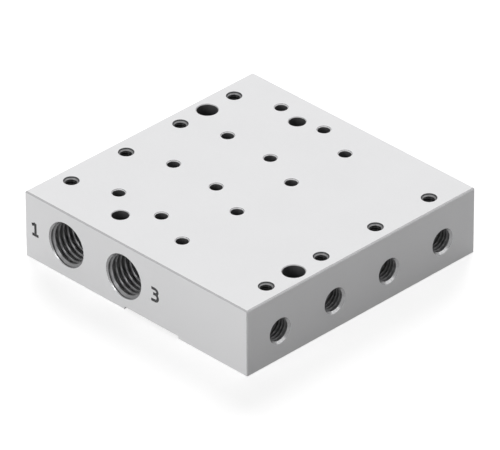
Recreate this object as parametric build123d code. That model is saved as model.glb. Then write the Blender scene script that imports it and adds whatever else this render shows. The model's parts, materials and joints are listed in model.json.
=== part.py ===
from build123d import *

import math
import os

# Air manifold block for four valves, machined from one piece of aluminium.
#
# X runs from the bare side to the side with the outlets, Y from the face with
# ports 1 and 3 to the face behind it, and Z up. The origin is at the middle of
# the base. All lengths are in millimetres.
#
# Two galleries run the length of the block under ports 1 and 3. Each valve
# station has three air drillings in the top: one drops into each gallery, and
# the third meets the cross-drilling of that station's outlet.

# The block
STATIONS = 4
STATION_PITCH = 27.0
END_MARGIN = 16.2
BLOCK_WIDTH = 111.0
BLOCK_HEIGHT = 26.8
TOP_EDGE_BREAK = 0.5
SIDE_EDGE_BREAK = 0.3

# The relief along the base
RELIEF_FROM_BARE_SIDE = 50.0
RELIEF_WIDTH = 27.0
RELIEF_DEPTH = 1.0
RELIEF_CORNER = 0.6

# The galleries, with a threaded port at both ends
GALLERY_1_FROM_BARE_SIDE = 20.8
GALLERY_SPACING = 29.0
GALLERY_BORE = 14.0
GALLERY_PORT_BORE = 15.25
GALLERY_PORT_RIM = 17.7
GALLERY_PORT_DEPTH = 14.0

# The outlets
OUTLET_BELOW_GALLERIES = 2.0
OUTLET_BORE = 8.6
OUTLET_RIM = 10.3
OUTLET_DEPTH = 9.5
OUTLET_CROSS_BORE = 6.0

# The valve interface on the top
AIR_DRILLING = 4.7
AIR_DRILLINGS_PAST_STATION = 6.3
DRILLING_1_FROM_GALLERY = 3.6
DRILLING_3_FROM_GALLERY = -3.9
DRILLING_2_FROM_GALLERY_3 = 12.9
VALVE_SCREW_BORE = 4.2
VALVE_SCREW_RIM = 5.9
VALVE_SCREW_FROM_SIDE = 6.8
METAL_UNDER_VALVE_SCREW = 1.7

# The holes right through the block
CENTRE_HOLE = 6.2
CENTRE_HOLE_FROM_END = 12.7
BARE_SIDE_HOLE = 7.8
OUTLET_SIDE_HOLE = 8.2
PLAIN_HOLE_EDGE_BREAK = 0.3

# A twist drill leaves a cone of this full angle at the foot of a blind hole
DRILL_POINT_ANGLE = 118.0
# How far the shapes that cut the block start outside its faces
OVERRUN = 1.0

BLOCK_LENGTH = (STATIONS - 1) * STATION_PITCH + 2 * END_MARGIN
BARE_SIDE_X = -BLOCK_WIDTH / 2
OUTLET_SIDE_X = BLOCK_WIDTH / 2
FRONT_Y = -BLOCK_LENGTH / 2
BACK_Y = BLOCK_LENGTH / 2
GALLERY_Z = BLOCK_HEIGHT / 2
OUTLET_Z = GALLERY_Z - OUTLET_BELOW_GALLERIES

GALLERY_1_X = BARE_SIDE_X + GALLERY_1_FROM_BARE_SIDE
GALLERY_3_X = GALLERY_1_X + GALLERY_SPACING
DRILLING_1_X = GALLERY_1_X + DRILLING_1_FROM_GALLERY
DRILLING_2_X = GALLERY_3_X + DRILLING_2_FROM_GALLERY_3
DRILLING_3_X = GALLERY_3_X + DRILLING_3_FROM_GALLERY
SCREW_COLUMNS = (BARE_SIDE_X + VALVE_SCREW_FROM_SIDE, OUTLET_SIDE_X - VALVE_SCREW_FROM_SIDE)


def station_lines():
    """The Y of the middle of each valve station, from the front."""
    return [(index - (STATIONS - 1) / 2) * STATION_PITCH for index in range(STATIONS)]


def drill_point(bore):
    """The length of the cone that a drill of this diameter leaves."""
    return bore / 2 / math.tan(math.radians(DRILL_POINT_ANGLE / 2))


def cutter(steps):
    """A turned shape that cuts downwards from the plane z = 0.

    The steps are pairs of a radius and a depth, from the mouth down. The slope of
    the rim runs on above the plane in one cone, so that no edge of the shape lies
    in the face that it cuts.
    """
    (rim, _), (bore, bore_depth) = steps[:2]
    flare = OVERRUN * (rim - bore) / bore_depth
    outline = [(0, OVERRUN), (rim + flare, OVERRUN)]
    outline += [(radius, -depth) for radius, depth in steps[1:]]
    if steps[-1][0] > 0:
        outline.append((0, -steps[-1][1]))
    profile = make_face(Polyline([(x, 0, z) for x, z in outline], close=True))
    return revolve(profile, Axis.Z)


def through_cutter(bore, depth):
    """A plain hole right through, with its edge broken at the top and the foot."""
    edge = PLAIN_HOLE_EDGE_BREAK
    radius = bore / 2
    foot = depth + OVERRUN
    return cutter(
        [
            (radius + edge, 0),
            (radius, edge),
            (radius, depth - edge),
            (radius + edge + OVERRUN, foot),
        ]
    )


def blind_cutter(bore, rim, depth):
    """A countersunk hole of this full depth, which ends in a drill point."""
    shoulder = depth - drill_point(bore)
    return cutter([(rim / 2, 0), (bore / 2, (rim - bore) / 2), (bore / 2, shoulder), (0, depth)])


def air_cutter(depth):
    """A plain air drilling down to the middle of the bore that it meets."""
    radius = AIR_DRILLING / 2
    edge = PLAIN_HOLE_EDGE_BREAK
    return cutter([(radius + edge, 0), (radius, edge), (radius, depth)])


def gallery_cutter():
    """Half of a gallery: its port, threaded from the face, and the bore behind it."""
    port = GALLERY_PORT_BORE / 2
    rim = GALLERY_PORT_RIM / 2
    bore = GALLERY_BORE / 2
    shoulder = GALLERY_PORT_DEPTH + port - bore
    return cutter(
        [
            (rim, 0),
            (port, rim - port),
            (port, GALLERY_PORT_DEPTH),
            (bore, shoulder),
            (bore, BLOCK_LENGTH / 2),
        ]
    )


def outlet_cutter():
    """An outlet: its port, threaded from the face, and the cross-drilling behind it."""
    port = OUTLET_BORE / 2
    rim = OUTLET_RIM / 2
    bore = OUTLET_CROSS_BORE / 2
    reach = OUTLET_SIDE_X - DRILLING_2_X
    return cutter(
        [
            (rim, 0),
            (port, rim - port),
            (port, OUTLET_DEPTH),
            (bore, OUTLET_DEPTH + drill_point(OUTLET_BORE) - drill_point(OUTLET_CROSS_BORE)),
            (bore, reach),
            (0, reach + drill_point(OUTLET_CROSS_BORE)),
        ]
    )


def on_top(x, y):
    """A mouth on the top face."""
    return Plane((x, y, BLOCK_HEIGHT), x_dir=(1, 0, 0), z_dir=(0, 0, 1))


def on_front(x):
    """A gallery's mouth on the front face."""
    return Plane((x, FRONT_Y, GALLERY_Z), x_dir=(1, 0, 0), z_dir=(0, -1, 0))


def on_back(x):
    """A gallery's mouth on the back face."""
    return Plane((x, BACK_Y, GALLERY_Z), x_dir=(-1, 0, 0), z_dir=(0, 1, 0))


def on_outlet_side(y):
    """An outlet's mouth on the outlet side."""
    return Plane((OUTLET_SIDE_X, y, OUTLET_Z), x_dir=(0, 1, 0), z_dir=(1, 0, 0))


def blank():
    """The squared block, with its upright and top edges broken and its base sharp."""
    stock = Box(
        BLOCK_WIDTH,
        BLOCK_LENGTH,
        BLOCK_HEIGHT,
        align=(Align.CENTER, Align.CENTER, Align.MIN),
    )
    stock = chamfer(stock.edges().filter_by(Axis.Z), SIDE_EDGE_BREAK)
    return chamfer(stock.faces().sort_by(Axis.Z)[-1].edges(), TOP_EDGE_BREAK)


def base_relief():
    """The shallow relief that leaves the block standing on a strip each side of it."""
    left = BARE_SIDE_X + RELIEF_FROM_BARE_SIDE
    section = Rectangle(
        RELIEF_WIDTH,
        RELIEF_DEPTH + OVERRUN,
        align=(Align.MIN, Align.MAX),
    )
    section = fillet(section.vertices().group_by(Axis.Y)[-1], RELIEF_CORNER)
    across = Plane((left, BACK_Y + OVERRUN, RELIEF_DEPTH), x_dir=(1, 0, 0), z_dir=(0, -1, 0))
    return extrude(across * section, BLOCK_LENGTH + 2 * OVERRUN)


def galleries():
    """Galleries 1 and 3, each drilled and threaded from both ends."""
    half = gallery_cutter()
    bores = []
    for x in (GALLERY_1_X, GALLERY_3_X):
        bores += [on_front(x) * half, on_back(x) * half]
    return bores


def outlets():
    """One outlet for each station."""
    port = outlet_cutter()
    return [on_outlet_side(y) * port for y in station_lines()]


def air_drillings():
    """The drillings into galleries 1 and 3 and into the outlets, for each station."""
    to_gallery = air_cutter(BLOCK_HEIGHT - GALLERY_Z)
    to_outlet = air_cutter(BLOCK_HEIGHT - OUTLET_Z)
    drillings = []
    for y in station_lines():
        past = y + AIR_DRILLINGS_PAST_STATION
        drillings += [on_top(x, past) * to_gallery for x in (DRILLING_1_X, DRILLING_3_X)]
        drillings.append(on_top(DRILLING_2_X, y) * to_outlet)
    return drillings


def valve_screw_holes():
    """Two blind holes for each valve, which stop short of the outlets below them."""
    floor = OUTLET_Z + OUTLET_BORE / 2 + METAL_UNDER_VALVE_SCREW
    hole = blind_cutter(VALVE_SCREW_BORE, VALVE_SCREW_RIM, BLOCK_HEIGHT - floor)
    return [on_top(x, y) * hole for x in SCREW_COLUMNS for y in station_lines()]


def through_holes():
    """Two holes between the galleries, and one in each column of valve screws."""
    lines = station_lines()
    bare_x, outlet_x = SCREW_COLUMNS
    middle = through_cutter(CENTRE_HOLE, BLOCK_HEIGHT)
    middle_x = (GALLERY_1_X + GALLERY_3_X) / 2
    holes = [
        on_top(middle_x, FRONT_Y + CENTRE_HOLE_FROM_END) * middle,
        on_top(middle_x, BACK_Y - CENTRE_HOLE_FROM_END) * middle,
    ]
    between_first = (lines[0] + lines[1]) / 2
    between_last = (lines[-2] + lines[-1]) / 2
    holes.append(on_top(bare_x, between_last) * through_cutter(BARE_SIDE_HOLE, BLOCK_HEIGHT))
    holes.append(on_top(outlet_x, between_first) * through_cutter(OUTLET_SIDE_HOLE, BLOCK_HEIGHT))
    return holes


def manifold_block():
    """The whole block, with every bore taken out of it."""
    bores = galleries() + outlets() + air_drillings() + valve_screw_holes() + through_holes()
    return blank() - [base_relief()] - bores


os.makedirs("parts", exist_ok=True)
block = manifold_block()
export_step(block, "parts/manifold_block.step")
print("manifold_block", round(block.volume), "mm3", block.bounding_box())
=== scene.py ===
"""Dresses the manifold block: its cut threads, its engraved port numbers and its finishes.

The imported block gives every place. Its mounts say where the holes are and how deep a thread
goes, and its box says where the faces are. The block is rebuilt as one closed piece, with the
threads and the numbers cut into it, and stands for the plain solid.
"""
import json
import logging
import math
from dataclasses import dataclass
from enum import Enum
from typing import ClassVar

import bmesh
import bpy
from mathutils import Matrix, Vector


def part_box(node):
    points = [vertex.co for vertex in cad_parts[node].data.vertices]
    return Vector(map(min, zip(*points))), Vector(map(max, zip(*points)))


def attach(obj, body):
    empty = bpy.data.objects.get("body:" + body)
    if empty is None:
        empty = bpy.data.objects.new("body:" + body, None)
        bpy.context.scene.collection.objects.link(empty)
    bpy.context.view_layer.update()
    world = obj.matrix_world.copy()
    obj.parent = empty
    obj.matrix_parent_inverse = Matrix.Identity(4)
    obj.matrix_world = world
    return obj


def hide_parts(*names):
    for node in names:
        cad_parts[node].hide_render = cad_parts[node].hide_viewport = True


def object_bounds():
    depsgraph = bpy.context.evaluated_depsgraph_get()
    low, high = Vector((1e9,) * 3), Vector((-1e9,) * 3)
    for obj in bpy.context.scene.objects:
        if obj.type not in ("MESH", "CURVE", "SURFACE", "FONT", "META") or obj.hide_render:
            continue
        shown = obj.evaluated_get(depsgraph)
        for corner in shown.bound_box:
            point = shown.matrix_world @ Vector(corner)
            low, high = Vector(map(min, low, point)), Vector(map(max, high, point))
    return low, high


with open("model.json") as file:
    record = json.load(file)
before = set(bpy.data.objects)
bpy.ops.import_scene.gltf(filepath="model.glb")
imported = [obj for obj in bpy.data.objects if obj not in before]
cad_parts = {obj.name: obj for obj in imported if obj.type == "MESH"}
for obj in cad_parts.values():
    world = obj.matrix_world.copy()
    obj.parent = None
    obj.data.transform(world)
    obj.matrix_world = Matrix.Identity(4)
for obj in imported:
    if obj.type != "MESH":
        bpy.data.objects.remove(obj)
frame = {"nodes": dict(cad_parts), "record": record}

CAD_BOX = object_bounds()
MM = 0.001
Z_AXIS = 2
MATH = "ShaderNodeMath"
WHITE = (1.0, 1.0, 1.0, 1.0)
log = logging.getLogger("manifold")


def linear(code: str) -> tuple[float, float, float, float]:
    """Turns an sRGB hex colour into the linear values that a shader takes.

    Args:
        code: Six hex digits after a hash, such as "#CDCDCE".

    Returns:
        Red, green, blue and an alpha of 1.
    """
    parts = [int(code[i : i + 2], 16) / 255 for i in (1, 3, 5)]
    red, green, blue = [c / 12.92 if c <= 0.04045 else ((c + 0.055) / 1.055) ** 2.4 for c in parts]
    return red, green, blue, 1.0


def add_node(
    tree: bpy.types.NodeTree, kind: str, settings: dict | None = None, links: dict | None = None
) -> bpy.types.Node:
    """Adds a node with its settings and its links.

    Args:
        tree: The tree that the node joins.
        kind: The node's type name.
        settings: Names of the node's own properties, or of its input sockets by name or
            number, and their values.
        links: Input sockets by name or number, and the output socket that feeds each.

    Returns:
        The new node.
    """
    node = tree.nodes.new(kind)
    for key, value in (settings or {}).items():
        if isinstance(key, str) and key in node.bl_rna.properties:
            setattr(node, key, value)
        else:
            node.inputs[key].default_value = value
    for key, socket in (links or {}).items():
        tree.links.new(socket, node.inputs[key])
    return node


def new_material(name: str) -> tuple[bpy.types.Material, bpy.types.NodeTree]:
    """Makes an empty node material.

    Args:
        name: The material's name.

    Returns:
        The material and its node tree.
    """
    material = bpy.data.materials.new(name)
    material.use_nodes = True
    material.node_tree.nodes.clear()
    return material, material.node_tree


def per_metre(size_mm: float) -> float:
    """Gives a noise texture's scale for a grain of this size in millimetres."""
    return 1.0 / (size_mm * MM)


@dataclass(frozen=True)
class MetalFinish:
    """Bare or anodised metal, with a grain in its colour, its gloss and its relief.

    The grain breaks up the reflections, so that a flat face shows a faint even tooth and
    not one flat tone. Wide clouds have as much say in the colour as the grain. Most of a
    noise texture's values lie in the grain's range.
    """

    name: str
    colour: str
    grain_colour: str
    metallic: float
    roughness: float
    roughness_spread: float
    grain_mm: float
    relief_mm: float

    grain_layers: ClassVar[float] = 3.0
    grain_bite: ClassVar[float] = 0.6
    grain_range: ClassVar[tuple[float, float]] = (0.3, 0.7)
    cloud_mm: ClassVar[float] = 22.0
    cloud_layers: ClassVar[float] = 2.0
    cloud_share: ClassVar[float] = 0.5

    def with_painted_highlight(
        self, tree: bpy.types.NodeTree, place: bpy.types.Node, colour: bpy.types.NodeSocket
    ) -> bpy.types.NodeSocket:
        """Gives the colour as it is. A finish with a painted highlight of its own draws it here.
        """
        return colour

    def material(self) -> bpy.types.Material:
        """Builds the finish.

        Returns:
            The node material.
        """
        material, tree = new_material(self.name)
        place = add_node(tree, "ShaderNodeTexCoord")
        grain = add_node(
            tree,
            "ShaderNodeTexNoise",
            {
                "Scale": per_metre(self.grain_mm),
                "Detail": self.grain_layers,
                "Roughness": self.grain_bite,
            },
            {"Vector": place.outputs["Object"]},
        )
        cloud = add_node(
            tree,
            "ShaderNodeTexNoise",
            {"Scale": per_metre(self.cloud_mm), "Detail": self.cloud_layers},
            {"Vector": place.outputs["Object"]},
        )
        cloud_part = add_node(
            tree,
            MATH,
            {"operation": "MULTIPLY", 1: self.cloud_share},
            {0: cloud.outputs["Fac"]},
        )
        blend = add_node(
            tree,
            MATH,
            {"operation": "MULTIPLY_ADD", 1: 1.0 - self.cloud_share},
            {0: grain.outputs["Fac"], 2: cloud_part.outputs["Value"]},
        )
        colour = add_node(
            tree,
            "ShaderNodeMix",
            {"data_type": "RGBA", "A": linear(self.colour), "B": linear(self.grain_colour)},
            {"Factor": blend.outputs["Value"]},
        )
        gloss = add_node(
            tree,
            "ShaderNodeMapRange",
            {
                "From Min": self.grain_range[0],
                "From Max": self.grain_range[1],
                "To Min": self.roughness - self.roughness_spread,
                "To Max": self.roughness + self.roughness_spread,
            },
            {"Value": grain.outputs["Fac"]},
        )
        relief = add_node(
            tree,
            "ShaderNodeBump",
            {"Strength": 1.0, "Distance": self.relief_mm * MM},
            {"Height": grain.outputs["Fac"]},
        )
        shader = add_node(
            tree,
            "ShaderNodeBsdfPrincipled",
            {"Metallic": self.metallic},
            {
                "Base Color": self.with_painted_highlight(tree, place, colour.outputs["Result"]),
                "Roughness": gloss.outputs["Result"],
                "Normal": relief.outputs["Normal"],
            },
        )
        add_node(tree, "ShaderNodeOutputMaterial", None, {"Surface": shader.outputs["BSDF"]})
        return material


@dataclass(frozen=True)
class RingedMetal(MetalFinish):
    """Metal in the holes of the top face, with a painted highlight: a brighter ring between two
    depths.
    """

    painted_highlight_colour: str
    painted_highlight_mm: tuple[float, float]
    fade_mm: float

    def with_painted_highlight(
        self, tree: bpy.types.NodeTree, place: bpy.types.Node, colour: bpy.types.NodeSocket
    ) -> bpy.types.NodeSocket:
        """Draws the painted highlight ring, by its depth below the top.

        Args:
            tree: The material's node tree.
            place: The node that gives the place on the block.
            colour: The grained colour.

        Returns:
            The colour, brighter between the two depths.
        """
        upper, lower = (CAD_BOX[1].z - depth * MM for depth in self.painted_highlight_mm)
        half = (upper - lower) / 2
        height = add_node(
            tree, "ShaderNodeSeparateXYZ", None, {"Vector": place.outputs["Object"]}
        )
        from_middle = add_node(
            tree,
            MATH,
            {"operation": "SUBTRACT", 1: lower + half},
            {0: height.outputs["Z"]},
        )
        distance = add_node(
            tree, MATH, {"operation": "ABSOLUTE"}, {0: from_middle.outputs["Value"]}
        )
        # Painted highlight: 1 between the two depths below the top, fading to 0 over fade_mm.
        ring = add_node(
            tree,
            "ShaderNodeMapRange",
            {"From Min": half, "From Max": half + self.fade_mm * MM, "To Min": 1.0, "To Max": 0.0},
            {"Value": distance.outputs["Value"]},
        )
        return add_node(
            tree,
            "ShaderNodeMix",
            {"data_type": "RGBA", "B": linear(self.painted_highlight_colour)},
            {"Factor": ring.outputs["Result"], "A": colour},
        ).outputs["Result"]


# Milled aluminium, bead-blasted and clear anodised: an even matt grey with a fine tooth. The
# real tooth is nearer 0.1 mm, and this one is coarser so that it shows.
BLASTED_ALUMINIUM = MetalFinish(
    name="blasted_clear_anodised_aluminium",
    colour="#E4E4E5",
    grain_colour="#DCDCDD",
    metallic=0.1,
    roughness=0.85,
    roughness_spread=0.04,
    grain_mm=0.35,
    relief_mm=0.002,
)
# Outer edges filed after the blasting: a fine line of painted shade, a little darker than the
# # faces beside it.
BROKEN_EDGE = MetalFinish(
    name="filed_aluminium_edge",
    colour="#B6B6B7",
    grain_colour="#AEAEAF",
    metallic=0.55,
    roughness=0.5,
    roughness_spread=0.04,
    grain_mm=0.3,
    relief_mm=0.001,
)
# The screw holes: painted dark for the shade inside them, with a painted highlight, a lighter
# ring,
# # where the thread begins.
SCREW_HOLE_PAINTED_SHADE = RingedMetal(
    name="screw_hole_painted_shade",
    # Painted shade: the dark colour stands in for the shade inside the screw holes.
    colour="#3E3E3F",
    grain_colour="#383839",
    metallic=0.6,
    roughness=0.45,
    roughness_spread=0.04,
    grain_mm=0.3,
    relief_mm=0.001,
    painted_highlight_colour="#848485",
    painted_highlight_mm=(0.46, 0.86),
    fade_mm=0.1,
)
# The countersinks of the ports, turned after the blasting: a glossier band round each mouth,
# # painted darker than the faces for the shade at the mouths.
COUNTERSUNK = MetalFinish(
    name="countersunk_aluminium",
    colour="#9A9A9B",
    grain_colour="#909091",
    metallic=0.8,
    roughness=0.28,
    roughness_spread=0.04,
    grain_mm=0.3,
    relief_mm=0.001,
)
# Walls left by a twist drill: painted dark for the shade in the bores, and a little glossier.
# # The mouths of the air drillings are deburred, and carry a painted highlight: a bright ring in
# # a fine dark rim.
DRILLED_WALL = RingedMetal(
    name="drilled_aluminium_painted_shade",
    # Painted shade: the dark colour stands in for the shade inside the bores.
    colour="#626263",
    grain_colour="#565657",
    metallic=0.55,
    roughness=0.5,
    roughness_spread=0.08,
    grain_mm=0.25,
    relief_mm=0.004,
    painted_highlight_colour="#D2D2D3",
    painted_highlight_mm=(0.14, 0.48),
    fade_mm=0.06,
)
# The holes right through, drilled last: painted as dark for the shade in them, with a painted
# # highlight on their edges, which are only just broken.
THROUGH_WALL = RingedMetal(
    name="through_drilled_aluminium",
    # Painted shade: the dark colour stands in for the shade inside the through holes.
    colour="#5C5C5D",
    grain_colour="#505051",
    metallic=0.55,
    roughness=0.5,
    roughness_spread=0.08,
    grain_mm=0.25,
    relief_mm=0.004,
    painted_highlight_colour="#B4B4B5",
    painted_highlight_mm=(0.0, 0.26),
    fade_mm=0.04,
)
# Cut thread flanks and crests in the ports: metal torn a little by the tap, painted darker than
# # the faces for the shade in the ports.
TAPPED_CREST = MetalFinish(
    name="tapped_aluminium",
    colour="#868687",
    grain_colour="#7A7A7B",
    metallic=0.6,
    roughness=0.54,
    roughness_spread=0.08,
    grain_mm=0.2,
    relief_mm=0.003,
)


@dataclass(frozen=True)
class EngravingFill:
    """Black engraver's paint in the port numbers: matt, and slightly uneven where it was wiped."""

    name: str = "engraver_black_paint"
    colour: str = "#3E3E3F"
    worn_colour: str = "#4E4E4F"
    roughness: float = 0.7
    mottle_mm: float = 0.4
    mottle_layers: float = 2.0

    def material(self) -> bpy.types.Material:
        """Builds the paint.

        Returns:
            The node material.
        """
        material, tree = new_material(self.name)
        place = add_node(tree, "ShaderNodeTexCoord")
        mottle = add_node(
            tree,
            "ShaderNodeTexNoise",
            {"Scale": per_metre(self.mottle_mm), "Detail": self.mottle_layers},
            {"Vector": place.outputs["Object"]},
        )
        colour = add_node(
            tree,
            "ShaderNodeMix",
            {"data_type": "RGBA", "A": linear(self.colour), "B": linear(self.worn_colour)},
            {"Factor": mottle.outputs["Fac"]},
        )
        shader = add_node(
            tree,
            "ShaderNodeBsdfPrincipled",
            {"Roughness": self.roughness},
            {"Base Color": colour.outputs["Result"]},
        )
        add_node(tree, "ShaderNodeOutputMaterial", None, {"Surface": shader.outputs["BSDF"]})
        return material


class Surface(Enum):
    """The finished surfaces of the block, in the order of its material slots."""

    OUTSIDE = 0
    EDGE = 1
    SCREW_HOLE = 2
    THROUGH_HOLE = 3
    COUNTERSINK = 4
    BORE = 5
    THREAD = 6
    NUMBER = 7


@dataclass(frozen=True)
class ThreadForm:
    """The form of one size of thread, in millimetres.

    The groove lies between the tapped bore's wall and the major radius. Its floor and its
    flanks take their shares of half a pitch. It starts below the lead, after a share of a
    turn, and fades out over the last turn. The tap that cuts it has so many sides around,
    and a ring of points at every step.
    """

    name: str
    major_radius: float
    pitch: float
    groove_share: float = 0.3
    flank_share: float = 0.3
    around: int = 96
    step: float = 0.2
    start: float = 0.0
    lead: float = 0.0


# The pitches are as coarse as the photograph shows them, and so coarser than the standard ones.
GALLERY_THREAD = ThreadForm("gallery_thread", 8.75, 2.2, flank_share=0.38, start=0.515)
OUTLET_THREAD = ThreadForm("outlet_thread", 4.87, 1.42, around=72, step=0.12, start=0.28, lead=1.2)
SCREW_THREAD = ThreadForm("screw_thread", 2.5, 1.1, around=48, step=0.1, lead=0.8)


@dataclass(frozen=True)
class ThreadedRow:
    """A straight row of like threaded holes: where the first mouth is, and the way inwards."""

    form: ThreadForm
    mouth: Vector
    inwards: Vector
    step: Vector
    count: int
    bore_radius: float
    depth: float


@dataclass
class ThreadTaps:
    """The shapes that cut the threads: closed, screw-shaped, one for each threaded hole.

    A tap stands a little clear of the bore's wall, and runs on above the mouth. Its groove
    comes in over a share of a pitch.
    """

    clearance_mm: float = 0.03
    overrun_mm: float = 0.8
    lead_in_share: float = 0.15

    inputs: ClassVar[dict[str, str]] = {
        "Major Radius": "NodeSocketFloat",
        "Bore Radius": "NodeSocketFloat",
        "Pitch": "NodeSocketFloat",
        "Depth": "NodeSocketFloat",
        "Overrun": "NodeSocketFloat",
        "Groove Share": "NodeSocketFloat",
        "Flank Share": "NodeSocketFloat",
        "Start": "NodeSocketFloat",
        "Lead": "NodeSocketFloat",
        "Around": "NodeSocketInt",
        "Rings": "NodeSocketInt",
        "Count": "NodeSocketInt",
        "Mouth": "NodeSocketVector",
        "Step": "NodeSocketVector",
        "Turn": "NodeSocketRotation",
        "Material": "NodeSocketMaterial",
    }

    def __post_init__(self) -> None:
        """Builds the node tree that all the rows share."""
        self.tree = bpy.data.node_groups.new("thread_taps", "GeometryNodeTree")
        face = self.tree.interface
        for name, kind in self.inputs.items():
            face.new_socket(name, in_out="INPUT", socket_type=kind)
        face.new_socket("Geometry", in_out="OUTPUT", socket_type="NodeSocketGeometry")
        given = add_node(self.tree, "NodeGroupInput").outputs
        self._repeat(given, self._tap(given))

    def _tap(self, given: bpy.types.NodeOutputs) -> bpy.types.NodeSocket:
        """Lays out one tap: a cylinder of radius 1, shaped by its own coordinates.

        Args:
            given: The tree's inputs.

        Returns:
            The tap, with its mouth at the origin and its foot below.
        """
        tree = self.tree
        length = add_node(
            tree, MATH, {"operation": "ADD"}, {0: given["Depth"], 1: given["Overrun"]}
        ).outputs["Value"]
        blank = add_node(
            tree,
            "GeometryNodeMeshCylinder",
            {"fill_type": "NGON", "Radius": 1.0},
            {"Vertices": given["Around"], "Side Segments": given["Rings"], "Depth": length},
        )
        position = add_node(tree, "GeometryNodeInputPosition").outputs["Position"]
        at = add_node(tree, "ShaderNodeSeparateXYZ", None, {"Vector": position}).outputs
        # The cylinder is centred, so half its length is the height of its top.
        top = add_node(
            tree, MATH, {"operation": "MULTIPLY", 1: 0.5}, {0: length}
        ).outputs["Value"]
        below_top = add_node(
            tree, MATH, {"operation": "SUBTRACT"}, {0: top, 1: at["Z"]}
        ).outputs["Value"]
        inside = add_node(
            tree, MATH, {"operation": "SUBTRACT"}, {0: below_top, 1: given["Overrun"]}
        ).outputs["Value"]
        cut = add_node(
            tree,
            MATH,
            {"operation": "MULTIPLY"},
            {0: self._groove(given, at, inside), 1: self._fade(given, inside)},
        ).outputs["Value"]
        reach = add_node(
            tree,
            MATH,
            {"operation": "SUBTRACT"},
            {0: given["Major Radius"], 1: given["Bore Radius"]},
        ).outputs["Value"]
        radius = add_node(
            tree, MATH, {"operation": "MULTIPLY_ADD"}, {0: cut, 1: reach, 2: given["Bore Radius"]}
        ).outputs["Value"]
        shaped = add_node(tree, "ShaderNodeCombineXYZ")
        for axis in ("X", "Y"):
            place = add_node(tree, MATH, {"operation": "MULTIPLY"}, {0: at[axis], 1: radius})
            tree.links.new(place.outputs["Value"], shaped.inputs[axis])
        height = add_node(tree, MATH, {"operation": "MULTIPLY", 1: -1.0}, {0: inside})
        tree.links.new(height.outputs["Value"], shaped.inputs["Z"])
        return add_node(
            tree,
            "GeometryNodeSetPosition",
            None,
            {"Geometry": blank.outputs["Mesh"], "Position": shaped.outputs["Vector"]},
        ).outputs["Geometry"]

    def _groove(
        self,
        given: bpy.types.NodeOutputs,
        at: bpy.types.NodeOutputs,
        inside: bpy.types.NodeSocket,
    ) -> bpy.types.NodeSocket:
        """Winds the groove round the axis.

        Args:
            given: The tree's inputs.
            at: The coordinates of a point of the cylinder.
            inside: The point's depth below the mouth.

        Returns:
            A socket that is 1 on the groove's floor, 0 between the turns and slopes on the
            flanks.
        """
        tree = self.tree
        angle = add_node(
            tree, MATH, {"operation": "ARCTAN2"}, {0: at["Y"], 1: at["X"]}
        ).outputs["Value"]
        turn = add_node(
            tree, MATH, {"operation": "DIVIDE", 1: math.tau}, {0: angle}
        ).outputs["Value"]
        along = add_node(
            tree, MATH, {"operation": "DIVIDE"}, {0: inside, 1: given["Pitch"]}
        ).outputs["Value"]
        wound = add_node(tree, MATH, {"operation": "ADD"}, {0: along, 1: turn}).outputs["Value"]
        started = add_node(
            tree, MATH, {"operation": "ADD"}, {0: wound, 1: given["Start"]}
        ).outputs["Value"]
        phase = add_node(tree, MATH, {"operation": "FRACT"}, {0: started}).outputs["Value"]
        # The groove's middle lies at half a turn, so this is 0 there and 1 between two turns.
        past_middle = add_node(
            tree, MATH, {"operation": "SUBTRACT", 1: 0.5}, {0: phase}
        ).outputs["Value"]
        distance = add_node(
            tree, MATH, {"operation": "ABSOLUTE"}, {0: past_middle}
        ).outputs["Value"]
        off_centre = add_node(
            tree, MATH, {"operation": "MULTIPLY", 1: 2.0}, {0: distance}
        ).outputs["Value"]
        flank_end = add_node(
            tree, MATH, {"operation": "ADD"}, {0: given["Groove Share"], 1: given["Flank Share"]}
        ).outputs["Value"]
        return add_node(
            tree,
            "ShaderNodeMapRange",
            {"To Min": 1.0, "To Max": 0.0},
            {"Value": off_centre, "From Min": given["Groove Share"], "From Max": flank_end},
        ).outputs["Result"]

    def _fade(
        self, given: bpy.types.NodeOutputs, inside: bpy.types.NodeSocket
    ) -> bpy.types.NodeSocket:
        """Lets the groove come in at the lead and run out over the last turn.

        Args:
            given: The tree's inputs.
            inside: A point's depth below the mouth.

        Returns:
            A socket that is 1 where the groove is whole and 0 where there is none.
        """
        tree = self.tree
        last_turn = add_node(
            tree, MATH, {"operation": "SUBTRACT"}, {0: given["Depth"], 1: given["Pitch"]}
        ).outputs["Value"]
        run_out = add_node(
            tree,
            "ShaderNodeMapRange",
            {"interpolation_type": "SMOOTHSTEP", "To Min": 1.0, "To Max": 0.0},
            {"Value": inside, "From Min": last_turn, "From Max": given["Depth"]},
        ).outputs["Result"]
        first_cut = add_node(
            tree,
            MATH,
            {"operation": "MULTIPLY_ADD", 1: -self.lead_in_share},
            {0: given["Pitch"], 2: given["Lead"]},
        ).outputs["Value"]
        lead_in = add_node(
            tree,
            "ShaderNodeMapRange",
            None,
            {"Value": inside, "From Min": first_cut, "From Max": given["Lead"]},
        ).outputs["Result"]
        return add_node(
            tree, MATH, {"operation": "MULTIPLY"}, {0: run_out, 1: lead_in}
        ).outputs["Value"]

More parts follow.
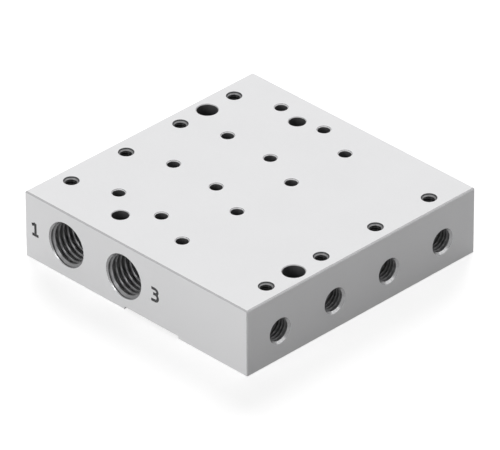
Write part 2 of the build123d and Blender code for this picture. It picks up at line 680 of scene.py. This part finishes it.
    def _repeat(self, given: bpy.types.NodeOutputs, tap: bpy.types.NodeSocket) -> None:
        """Sets the tap at every hole of the row, and gives the taps their finish.

        Args:
            given: The tree's inputs.
            tap: The tap at the origin.
        """
        tree = self.tree
        row = add_node(
            tree,
            "GeometryNodeMeshLine",
            {"mode": "OFFSET"},
            {"Count": given["Count"], "Start Location": given["Mouth"], "Offset": given["Step"]},
        )
        copies = add_node(
            tree,
            "GeometryNodeInstanceOnPoints",
            None,
            {"Points": row.outputs["Mesh"], "Instance": tap, "Rotation": given["Turn"]},
        )
        real = add_node(
            tree, "GeometryNodeRealizeInstances", None, {"Geometry": copies.outputs["Instances"]}
        )
        dressed = add_node(
            tree,
            "GeometryNodeSetMaterial",
            None,
            {"Geometry": real.outputs["Geometry"], "Material": given["Material"]},
        )
        add_node(tree, "NodeGroupOutput", None, {"Geometry": dressed.outputs["Geometry"]})

    def cut_mesh(self, row: ThreadedRow, material: bpy.types.Material) -> bpy.types.Object:
        """Makes the taps of one row.

        Args:
            row: The threaded holes.
            material: The finish that the cut leaves.

        Returns:
            An object whose plain mesh holds the row's taps.
        """
        form = row.form
        overrun = self.overrun_mm * MM
        rings = round((row.depth + overrun) / (form.step * MM))
        return evaluated(
            self.tree,
            {
                "Major Radius": form.major_radius * MM,
                "Bore Radius": row.bore_radius + self.clearance_mm * MM,
                "Pitch": form.pitch * MM,
                "Depth": row.depth,
                "Overrun": overrun,
                "Groove Share": form.groove_share,
                "Flank Share": form.flank_share,
                "Start": form.start,
                "Lead": form.lead * MM,
                "Around": form.around,
                "Rings": rings,
                "Count": row.count,
                "Mouth": row.mouth,
                "Step": row.step,
                "Turn": (-row.inwards).to_track_quat("Z", "Y").to_euler(),
                "Material": material,
            },
            form.name,
        )


def evaluated(
    tree: bpy.types.NodeTree, values: dict, name: str, base: bpy.types.Mesh | None = None
) -> bpy.types.Object:
    """Runs a geometry node tree once and keeps the plain mesh that it makes.

    Args:
        tree: The tree.
        values: The inputs' values, by name.
        name: The new object's name.
        base: The mesh that the tree starts from, if it takes one.

    Returns:
        An object with the resulting mesh and no modifier.
    """
    maker = bpy.data.objects.new(name + "_maker", base or bpy.data.meshes.new(name + "_base"))
    bpy.context.scene.collection.objects.link(maker)
    modifier = maker.modifiers.new("nodes", "NODES")
    modifier.node_group = tree
    sockets = {
        item.name: item.identifier
        for item in tree.interface.items_tree
        if item.item_type == "SOCKET" and item.in_out == "INPUT"
    }
    for key, value in values.items():
        modifier[sockets[key]] = value
    depsgraph = bpy.context.evaluated_depsgraph_get()
    mesh = bpy.data.meshes.new_from_object(maker.evaluated_get(depsgraph))
    bpy.data.objects.remove(maker)
    made = bpy.data.objects.new(name, mesh)
    bpy.context.scene.collection.objects.link(made)
    return made


@dataclass
class EngravedNumbers:
    """The port numbers, cut with a ball-ended engraving tool along plain strokes.

    The strokes are drawn on the front face in millimetres, from the middle of each number.
    The tool's middle runs a little outside the face.
    """

    tool_radius: float = 0.59
    outside_face: float = 0.05
    half_height: float = 2.4
    beside_port: float = 15.8
    below_port: float = 0.5
    tool_sides: int = 20
    bow_stretches: int = 18

    def __post_init__(self) -> None:
        """Builds the node tree that sweeps the tool along a stroke."""
        self.tree = bpy.data.node_groups.new("engraved_stroke", "GeometryNodeTree")
        tree = self.tree
        face = tree.interface
        face.new_socket("Geometry", in_out="INPUT", socket_type="NodeSocketGeometry")
        face.new_socket("Tool Radius", in_out="INPUT", socket_type="NodeSocketFloat")
        face.new_socket("Around", in_out="INPUT", socket_type="NodeSocketInt")
        face.new_socket("Material", in_out="INPUT", socket_type="NodeSocketMaterial")
        face.new_socket("Geometry", in_out="OUTPUT", socket_type="NodeSocketGeometry")
        given = add_node(tree, "NodeGroupInput").outputs
        path = add_node(tree, "GeometryNodeMeshToCurve", None, {"Mesh": given["Geometry"]})
        ball = add_node(
            tree,
            "GeometryNodeCurvePrimitiveCircle",
            {"mode": "RADIUS"},
            {"Resolution": given["Around"], "Radius": given["Tool Radius"]},
        )
        swept = add_node(
            tree,
            "GeometryNodeCurveToMesh",
            {"Fill Caps": True},
            {"Curve": path.outputs["Curve"], "Profile Curve": ball.outputs["Curve"]},
        )
        real = add_node(
            tree, "GeometryNodeRealizeInstances", None, {"Geometry": swept.outputs["Mesh"]}
        )
        dressed = add_node(
            tree,
            "GeometryNodeSetMaterial",
            None,
            {"Geometry": real.outputs["Geometry"], "Material": given["Material"]},
        )
        add_node(tree, "NodeGroupOutput", None, {"Geometry": dressed.outputs["Geometry"]})

    def bow(
        self, centre: tuple[float, float], radii: tuple[float, float]
    ) -> list[tuple[float, float]]:
        """Gives points along the right half of an ellipse, from its top down.

        Args:
            centre: Its middle.
            radii: Its half widths across and up.

        Returns:
            The points in order.
        """
        points = []
        for index in range(self.bow_stretches + 1):
            turn = math.pi / 2 - math.pi * index / self.bow_stretches
            across, up = radii[0] * math.cos(turn), radii[1] * math.sin(turn)
            points.append((centre[0] + across, centre[1] + up))
        return points

    def one(self) -> list[list[tuple[float, float]]]:
        """Draws a 1.

        Returns:
            The strokes of its flag, its stem and its foot.
        """
        top, foot = self.half_height, -self.half_height
        stem = 0.12
        return [
            [(stem - 1.75, top - 0.95), (stem, top - 0.1)],
            [(stem, top), (stem, foot)],
            [(stem - 1.65, foot), (stem + 1.55, foot)],
        ]

    def three(self) -> list[list[tuple[float, float]]]:
        """Draws a 3.

        Returns:
            The strokes of its upper and its lower bow.
        """
        top, foot = self.half_height, -self.half_height
        waist = 0.3
        upper, lower = (top - waist) / 2, (waist - foot) / 2
        bow_left = -0.1
        upper_bow = self.bow((bow_left, waist + upper), (1.2, upper))
        lower_bow = self.bow((bow_left, foot + lower), (1.4, lower))
        return [
            [(-1.9, top), *upper_bow, (-1.0, waist)],
            [(-1.0, waist), *lower_bow, (-2.0, foot - 0.05)],
        ]

    def cut_meshes(
        self, ports: dict[str, Vector], front: float, material: bpy.types.Material
    ) -> list[bpy.types.Object]:
        """Makes the shapes that cut the numbers.

        Args:
            ports: The middle of port 1 and port 3.
            front: The front face's place along Y.
            material: The paint left in the cut.

        Returns:
            One object for each stroke.
        """
        made = []
        for number, strokes, side in (("1", self.one(), -1), ("3", self.three(), 1)):
            port = ports[number]
            for index, stroke in enumerate(strokes):
                points = [
                    (
                        port.x + (side * self.beside_port + x) * MM,
                        front - self.outside_face * MM,
                        port.z + (z - self.below_port) * MM,
                    )
                    for x, z in stroke
                ]
                path = bpy.data.meshes.new("stroke_path")
                path.from_pydata(points, [(i, i + 1) for i in range(len(points) - 1)], [])
                values = {
                    "Tool Radius": self.tool_radius * MM,
                    "Around": self.tool_sides,
                    "Material": material,
                }
                made.append(evaluated(self.tree, values, f"number_{number}_stroke_{index}", path))
        return made


@dataclass
class ManifoldBlock:
    """The machined block as one closed piece, with its threads and numbers cut.

    The sizes in millimetres tell the surfaces apart: a face within flat_mm of a side of the
    box is flat, one within edge_mm of two sides is a broken edge, and a sloping one within
    countersink_mm of a side is a port's countersink. A hole's own surfaces reach past_bore_mm
    beyond its bore. A port's thread stops thread_stop_mm short of its bore's foot.
    """

    record: dict
    materials: dict[Surface, bpy.types.Material]
    node: str = "manifold_block"
    name: str = "machined_block"
    stations: int = 4
    ports_on_a_face: int = 2
    weld_mm: float = 0.001
    sliver_mm: float = 0.0001
    flat_mm: float = 0.01
    edge_mm: float = 0.6
    countersink_mm: float = 1.3
    countersink_slope: tuple[float, float] = (0.5, 0.9)
    past_bore_mm: float = 0.9
    relief_depth_mm: float = 1.0
    relief_sides_mm: tuple[float, float] = (-5.5, 21.5)
    thread_stop_mm: float = 0.6
    screw_thread_mm: float = 7.0
    sharp_degrees: float = 28.0

    def mount(self, name: str) -> dict:
        """Finds one of the record's mounts by its name."""
        return next(m for m in self.record["mounts"] if m["name"] == name)

    def threaded_rows(self) -> list[ThreadedRow]:
        """Reads the threaded holes from the record's mounts.

        Returns:
            The rows of gallery ports, outlets and valve screw holes.
        """
        low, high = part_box(self.node)
        rows = []
        for side, face in (("front", low), ("back", high)):
            ends = self.mount(f"port_1_{side}"), self.mount(f"port_3_{side}")
            rows.append(
                self._row(GALLERY_THREAD, *ends, self.ports_on_a_face, Vector((0, 1, 0)), face.y)
            )
        ends = self.mount("outlet_1"), self.mount(f"outlet_{self.stations}")
        rows.append(self._row(OUTLET_THREAD, *ends, self.stations, Vector((1, 0, 0)), high.x))
        first, last = self.mount("valve_screws_1"), self.mount(f"valve_screws_{self.stations}")
        reach = Vector(last["pos_m"]) - Vector(first["pos_m"])
        half = first["dims"]["spacing_x_mm"] / 2 * MM
        for x in (-half, half):
            rows.append(
                ThreadedRow(
                    form=SCREW_THREAD,
                    mouth=Vector((x, first["pos_m"][1], high.z)),
                    inwards=Vector((0, 0, -1)),
                    step=reach / (self.stations - 1),
                    count=self.stations,
                    bore_radius=first["dims"]["hole_r_mm"] * MM,
                    depth=self.screw_thread_mm * MM,
                )
            )
        return rows

    def _row(
        self, form: ThreadForm, first: dict, last: dict, count: int, along: Vector, face: float
    ) -> ThreadedRow:
        """Makes a row between two round mounts.

        Args:
            form: The thread.
            first: The row's first mount.
            last: The row's last mount.
            count: How many holes it has.
            along: The axis of the holes, without its sign.
            face: The face's place along that axis.

        Returns:
            The row.
        """
        start, end = Vector(first["pos_m"]), Vector(last["pos_m"])
        bore_foot = abs(face - start.dot(along)) + first["dims"]["length_mm"] / 2 * MM
        return ThreadedRow(
            form=form,
            mouth=start - along * start.dot(along) + along * face,
            inwards=-Vector(first["axis"]),
            step=(end - start) / (count - 1),
            count=count,
            bore_radius=first["dims"]["r_mm"] * MM,
            depth=bore_foot - self.thread_stop_mm * MM,
        )

    def welded_copy(self) -> bpy.types.Object:
        """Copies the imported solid's mesh and joins its loose triangles.

        Returns:
            The copy, with a material slot for each surface.
        """
        mesh = frame["nodes"][self.node].data.copy()
        mesh.name = self.name
        mesh.materials.clear()
        for surface in Surface:
            mesh.materials.append(self.materials[surface])
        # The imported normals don't fit a mesh that is cut, so the angles give them afresh.
        for name in ("custom_normal", "sharp_edge", "sharp_face"):
            if name in mesh.attributes:
                mesh.attributes.remove(mesh.attributes[name])
        body = bmesh.new()
        body.from_mesh(mesh)
        bmesh.ops.remove_doubles(body, verts=body.verts, dist=self.weld_mm * MM)
        bmesh.ops.dissolve_degenerate(body, edges=body.edges, dist=self.sliver_mm * MM)
        body.to_mesh(mesh)
        body.free()
        piece = bpy.data.objects.new(self.name, mesh)
        bpy.context.scene.collection.objects.link(piece)
        return piece

    def top_holes(self) -> list[tuple[Surface, Vector, float]]:
        """Reads the screw holes and the through holes of the top from the record's mounts.

        Returns:
            For each, its finish, a point on its axis and how far from there the finish reaches.
        """
        past = self.past_bore_mm * MM
        holes = []
        for row in self.threaded_rows():
            if row.form is SCREW_THREAD:
                places = [row.mouth + row.step * i for i in range(row.count)]
                holes += [(Surface.SCREW_HOLE, place, row.bore_radius + past) for place in places]
        pair = self.mount("centre_holes")
        half = Vector((0, pair["dims"]["spacing_y_mm"] / 2 * MM, 0))
        for side in (-half, half):
            reach = pair["dims"]["hole_r_mm"] * MM + past
            holes.append((Surface.THROUGH_HOLE, Vector(pair["pos_m"]) + side, reach))
        for name in ("bare_side_hole", "outlet_side_hole"):
            hole = self.mount(name)
            reach = hole["dims"]["r_mm"] * MM + past
            holes.append((Surface.THROUGH_HOLE, Vector(hole["pos_m"]), reach))
        return holes

    def surface_of(
        self,
        centre: Vector,
        normal: Vector,
        box: tuple[Vector, Vector],
        holes: list[tuple[Surface, Vector, float]],
    ) -> Surface:
        """Tells which finish a face of the plain solid has.

        Args:
            centre: The face's middle.
            normal: Its normal.
            box: The block's lowest and highest corner.
            holes: The screw holes and the through holes, as top_holes gives them.

        Returns:
            The flat outside, a broken edge, a screw hole, a hole right through, a port's
            countersink, or the wall of another bore.
        """
        low, high = box
        left, right = (x * MM for x in self.relief_sides_mm)
        roof = (self.relief_depth_mm + self.flat_mm) * MM
        if centre.z <= roof and left <= centre.x <= right:
            return Surface.OUTSIDE
        depths = sorted((min(centre[i] - low[i], high[i] - centre[i]), i) for i in range(3))
        depth, axis = depths[0]
        if depth < self.flat_mm * MM:
            return Surface.OUTSIDE
        if depths[1][0] < self.edge_mm * MM:
            return Surface.EDGE
        for surface, place, reach in holes:
            if (centre - place).xy.length < reach:
                return surface
        least, most = self.countersink_slope
        slopes = least < abs(normal[axis]) < most
        if axis != Z_AXIS and slopes and depth < self.countersink_mm * MM:
            return Surface.COUNTERSINK
        return Surface.BORE

    def paint(self, piece: bpy.types.Object) -> None:
        """Gives each face of the plain solid its finish.

        Args:
            piece: The cut piece, whose port threads and numbers keep their cutters' finish.
        """
        box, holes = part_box(self.node), self.top_holes()
        cut = (Surface.THREAD.value, Surface.NUMBER.value)
        for polygon in piece.data.polygons:
            surface = self.surface_of(polygon.center, polygon.normal, box, holes)
            if polygon.material_index not in cut or surface is Surface.OUTSIDE:
                polygon.material_index = surface.value

    def cut(self, piece: bpy.types.Object, cutters: list[bpy.types.Object]) -> None:
        """Takes shapes out of the piece.

        Args:
            piece: The piece, whose mesh is replaced by the result.
            cutters: The closed shapes, which are removed afterwards.
        """
        for cutter in cutters:
            modifier = piece.modifiers.new("cut", "BOOLEAN")
            modifier.operation = "DIFFERENCE"
            modifier.solver = "EXACT"
            modifier.material_mode = "TRANSFER"
            modifier.object = cutter
            depsgraph = bpy.context.evaluated_depsgraph_get()
            mesh = bpy.data.meshes.new_from_object(piece.evaluated_get(depsgraph))
            piece.modifiers.clear()
            old = piece.data
            piece.data = mesh
            bpy.data.meshes.remove(old)
            bpy.data.objects.remove(cutter)

    def build(self) -> bpy.types.Object:
        """Builds the piece, and sets it in place of the plain solid.

        Returns:
            The finished piece.
        """
        piece = self.welded_copy()
        ports = {n: Vector(self.mount(f"port_{n}_front")["pos_m"]) for n in ("1", "3")}
        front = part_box(self.node)[0].y
        numbers = EngravedNumbers()
        self.cut(piece, numbers.cut_meshes(ports, front, self.materials[Surface.NUMBER]))
        taps = ThreadTaps()
        for row in self.threaded_rows():
            wall = Surface.SCREW_HOLE if row.form is SCREW_THREAD else Surface.THREAD
            self.cut(piece, [taps.cut_mesh(row, self.materials[wall])])
            log.info("%s: %d holes", row.form.name, row.count)
        self.paint(piece)
        piece.data.name = self.name
        piece.data.shade_smooth()
        piece.data.set_sharp_from_angle(angle=math.radians(self.sharp_degrees))
        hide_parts(self.node)
        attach(piece, "root")
        return piece


@dataclass(frozen=True)
class Lamp:
    """A wide, soft, distant lamp: the way towards it, its strength and its width in degrees."""

    name: str
    towards: tuple[float, float, float]
    strength: float
    angle: float = 40.0

    def hang(self) -> None:
        """Adds the lamp to the scene."""
        light = bpy.data.lights.new(self.name, "SUN")
        light.energy = self.strength
        light.angle = math.radians(self.angle)
        lamp = bpy.data.objects.new(self.name, light)
        lamp.rotation_euler = Vector(self.towards).to_track_quat("Z", "Y").to_euler()
        bpy.context.scene.collection.objects.link(lamp)


LAMPS = (
    Lamp("rear_left_lamp", (-0.6, 0.6, 0.54), 3.15),
    Lamp("front_lamp", (0.05, -0.93, 0.36), 1.93, 31.0),
    Lamp("right_strip_rear", (0.44, 0.745, 0.5), 0.19, 20.0),
    Lamp("right_strip_middle", (0.62, 0.41, 0.67), 0.19, 20.0),
    Lamp("right_strip_front", (0.74, 0.01, 0.67), 0.19, 20.0),
)


@dataclass(frozen=True)
class Studio:
    """A pale floor, a soft sky and soft lamps, and the camera at the photograph's angle.

    Lengths are in metres, and the camera's lens and sensor in millimetres. The azimuth,
    elevation and roll are in degrees.
    """

    floor_colour: str = "#BCBCBC"
    floor_size: float = 12.0
    floor_glow: float = 0.7
    floor_drop: float = 0.00002
    sky: float = 0.04
    lamps: tuple[Lamp, ...] = LAMPS
    azimuth: float = 45.235
    elevation: float = 32.392
    roll: float = -0.214
    distance: float = 2.8702
    rise: float = -0.00133
    lens: float = 584.78
    sensor: float = 36.0
    sight: tuple[float, float] = (0.1, 50.0)

    @staticmethod
    def seen(tree: bpy.types.NodeTree) -> bpy.types.NodeSocket:
        """Marks the rays that show the background: the eye's, those off metal and through glass.

        Args:
            tree: The floor's or the world's node tree.

        Returns:
            A socket that is 1 for those rays and 0 for the rest.
        """
        path = add_node(tree, "ShaderNodeLightPath").outputs
        direct = add_node(
            tree,
            MATH,
            {"operation": "ADD"},
            {0: path["Is Camera Ray"], 1: path["Is Glossy Ray"]},
        )
        return add_node(
            tree,
            MATH,
            {"operation": "ADD", "use_clamp": True},
            {0: direct.outputs["Value"], 1: path["Is Transmission Ray"]},
        ).outputs["Value"]

    def floor(self) -> None:
        """Lays the floor, which shows white to the eye and in the metal, and keeps the shadow.

        It lies a hair below the base, so that the two faces aren't in one plane.
        """
        half = self.floor_size / 2
        mesh = bpy.data.meshes.new("floor")
        corners = [
            (x * half, y * half, -self.floor_drop) for x, y in ((-1, -1), (1, -1), (1, 1), (-1, 1))
        ]
        mesh.from_pydata(corners, [], [(0, 1, 2, 3)])
        floor = bpy.data.objects.new("floor", mesh)
        bpy.context.scene.collection.objects.link(floor)
        material, tree = new_material("pale_floor")
        glow = add_node(
            tree, MATH, {"operation": "MULTIPLY", 1: self.floor_glow}, {0: self.seen(tree)}
        )
        matt = add_node(tree, "ShaderNodeBsdfDiffuse", {"Color": linear(self.floor_colour)})
        light = add_node(
            tree, "ShaderNodeEmission", {"Color": WHITE}, {"Strength": glow.outputs["Value"]}
        )
        both = add_node(
            tree,
            "ShaderNodeAddShader",
            None,
            {0: matt.outputs["BSDF"], 1: light.outputs["Emission"]},
        )
        add_node(tree, "ShaderNodeOutputMaterial", None, {"Surface": both.outputs["Shader"]})
        mesh.materials.append(material)

    def world(self) -> None:
        """Lights the whole room evenly, and shows it white to the eye and in the metal."""
        world = bpy.data.worlds.new("room")
        world.use_nodes = True
        tree = world.node_tree
        tree.nodes.clear()
        strength = add_node(
            tree,
            "ShaderNodeMapRange",
            {"To Min": self.sky, "To Max": 1.0},
            {"Value": self.seen(tree)},
        )
        sky = add_node(
            tree,
            "ShaderNodeBackground",
            {"Color": WHITE},
            {"Strength": strength.outputs["Result"]},
        )
        add_node(tree, "ShaderNodeOutputWorld", None, {"Surface": sky.outputs["Background"]})
        bpy.context.scene.world = world

    def camera(self, centre: Vector) -> None:
        """Sets the camera.

        Args:
            centre: The middle of the object.
        """
        around, up = math.radians(self.azimuth), math.radians(self.elevation)
        back = Vector(
            (math.sin(around) * math.cos(up), -math.cos(around) * math.cos(up), math.sin(up))
        )
        right = Vector((math.cos(around), math.sin(around), 0))
        above = back.cross(right)
        lean = Matrix.Rotation(math.radians(self.roll), 3, back)
        right, above = lean @ right, lean @ above
        data = bpy.data.cameras.new("camera")
        data.lens = self.lens
        data.sensor_width = self.sensor
        data.clip_start, data.clip_end = self.sight
        camera = bpy.data.objects.new("camera", data)
        turn = Matrix((right, above, back)).transposed().to_4x4()
        place = centre + back * self.distance + above * self.rise
        camera.matrix_world = Matrix.Translation(place) @ turn
        bpy.context.scene.collection.objects.link(camera)
        bpy.context.scene.camera = camera

    def build(self, centre: Vector) -> None:
        """Sets up the floor, the light, the camera and the plain view transform.

        Args:
            centre: The middle of the object.
        """
        self.floor()
        self.world()
        for lamp in self.lamps:
            lamp.hang()
        self.camera(centre)
        bpy.context.scene.view_settings.view_transform = "Standard"
        log.info("studio: %d lamps", len(self.lamps))


def main() -> None:
    """Builds the block and the studio, and reports each."""
    logging.basicConfig(level=logging.INFO, format="%(name)s: %(message)s")
    materials = {
        Surface.OUTSIDE: BLASTED_ALUMINIUM.material(),
        Surface.EDGE: BROKEN_EDGE.material(),
        Surface.SCREW_HOLE: SCREW_HOLE_PAINTED_SHADE.material(),
        Surface.THROUGH_HOLE: THROUGH_WALL.material(),
        Surface.COUNTERSINK: COUNTERSUNK.material(),
        Surface.BORE: DRILLED_WALL.material(),
        Surface.THREAD: TAPPED_CREST.material(),
        Surface.NUMBER: EngravingFill().material(),
    }
    piece = ManifoldBlock(record=frame["record"], materials=materials).build()
    log.info("%s: %d faces", piece.name, len(piece.data.polygons))
    low, high = CAD_BOX
    Studio().build((low + high) / 2)


if __name__ == "__main__":
    main()
